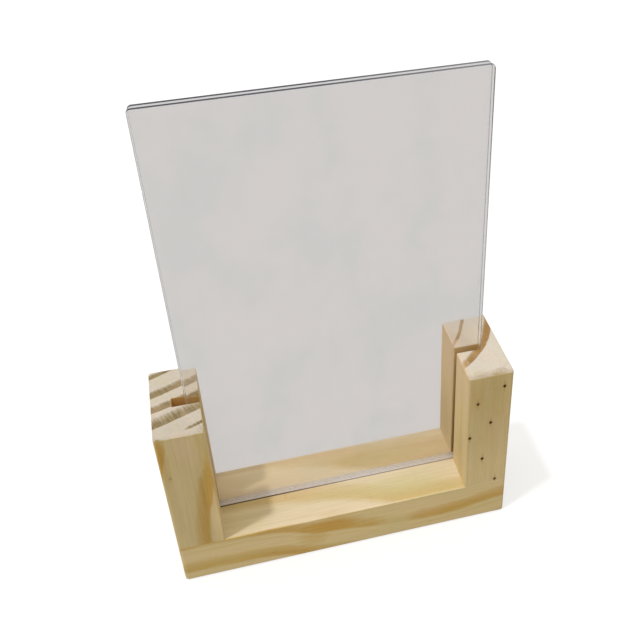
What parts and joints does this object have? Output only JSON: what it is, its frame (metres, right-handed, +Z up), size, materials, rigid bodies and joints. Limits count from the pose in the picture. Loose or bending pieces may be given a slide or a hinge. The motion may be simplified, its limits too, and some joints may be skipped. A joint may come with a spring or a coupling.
{
  "type": "photo block holder",
  "caption": "Pine base with a grooved post at each end; clear sheets stand in the grooves with a photograph between them and lift straight out.",
  "frame": {"origin": "middle of the base's underside, on the surface that the holder stands on", "axes": "+X along the base to the right, +Y to the back, +Z up"},
  "size_m": [0.177, 0.048, 0.26],
  "materials": {
    "pine_base": "planed and sanded, unvarnished",
    "pine_posts": "planed and sanded, unvarnished",
    "clear_sheets": "clear, polished, with ground edges",
    "screws": "zinc plated"
  },
  "bodies": {
    "holder": {"base_rail": "pine_base", "left_post": "pine_posts", "right_post": "pine_posts", "screw_left_front": "screws", "screw_left_back": "screws", "screw_right_front": "screws", "screw_right_back": "screws"},
    "front_pane": {"front_sheet": "clear_sheets"},
    "back_pane": {"back_sheet": "clear_sheets"}
  },
  "joints": [
    {"name": "front_sheet_lift", "type": "slide", "parent": "holder", "child": "front_pane", "axis": [0, 0, 1], "range_m": [0, 0.08]},
    {"name": "back_sheet_lift", "type": "slide", "parent": "holder", "child": "back_pane", "axis": [0, 0, 1], "range_m": [0, 0.08]}
  ]
}
